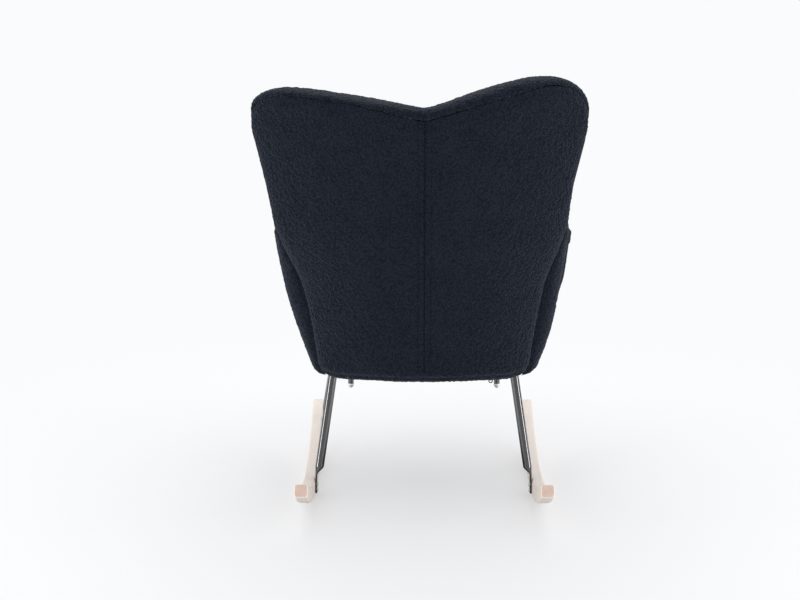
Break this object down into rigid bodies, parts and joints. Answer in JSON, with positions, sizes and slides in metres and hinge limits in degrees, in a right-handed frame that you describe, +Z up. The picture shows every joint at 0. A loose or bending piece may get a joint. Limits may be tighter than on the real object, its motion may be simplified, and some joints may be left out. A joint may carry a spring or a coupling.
{
  "type": "wingback rocking chair",
  "caption": "Upholstered wingback chair with a lobed back, sloping arms, a side pocket and a loose seat cushion, on splayed steel tube legs screwed to bent wooden rockers.",
  "frame": {"origin": "on the floor, at the middle of the box around the whole chair, which is within a millimetre of the middle of the flats on which both rockers rest", "axes": "+X to the sitter's left, +Y to the rear of the chair, +Z up"},
  "size_m": [0.7372, 0.8242, 0.9775],
  "materials": {
    "boucle": "curly blue-black pile cloth over foam",
    "lining": "thin black bonded cloth",
    "deck_pad": "foam sheet under plain dark cloth",
    "webbing": "black woven elastic band",
    "rocker_wood": "pale clear-lacquered hardwood",
    "frame_wood": "sawn softwood and plywood",
    "black_steel": "satin black powder coat",
    "zinc_steel": "bright zinc plate"
  },
  "bodies": {
    "chair": {"arm_bolts": "zinc_steel", "back_bottom_rail": "frame_wood", "back_middle_rail": "frame_wood", "back_top_rail": "frame_wood", "back_webbing": "webbing", "bracket_bolts": "zinc_steel", "cap_nuts": "zinc_steel", "clamp_bolts": "zinc_steel", "clamp_sleeves": "black_steel", "dust_cover": "lining", "front_border": "boucle", "front_left_leg": "black_steel", "front_right_leg": "black_steel", "inside_back": "boucle", "left_arm": "boucle", "left_arm_frame": "frame_wood", "left_back_bracket": "black_steel", "left_back_post": "frame_wood", "left_leg_plate": "black_steel", "left_rocker": "rocker_wood", "left_seat_rail": "frame_wood", "left_wing_board": "frame_wood", "leg_plate_bolts": "zinc_steel", "outside_back": "boucle", "rear_left_leg": "black_steel", "rear_right_leg": "black_steel", "right_arm": "boucle", "right_arm_frame": "frame_wood", "right_back_bracket": "black_steel", "right_back_post": "frame_wood", "right_leg_plate": "black_steel", "right_rocker": "rocker_wood", "right_seat_rail": "frame_wood", "right_wing_board": "frame_wood", "rocker_screws": "zinc_steel", "seat_corner_blocks": "frame_wood", "seat_deck": "deck_pad", "seat_front_rail": "frame_wood", "seat_rear_rail": "frame_wood", "seat_webbing": "webbing", "side_pocket": "boucle", "tie_hook": "black_steel"},
    "cushion": {"seat_cushion": "boucle"}
  },
  "joints": [
    {"name": "cushion_lift", "type": "slide", "parent": "chair", "child": "cushion", "axis": [0, 0.0698, 0.9976], "range_m": [0, 0.28]}
  ]
}
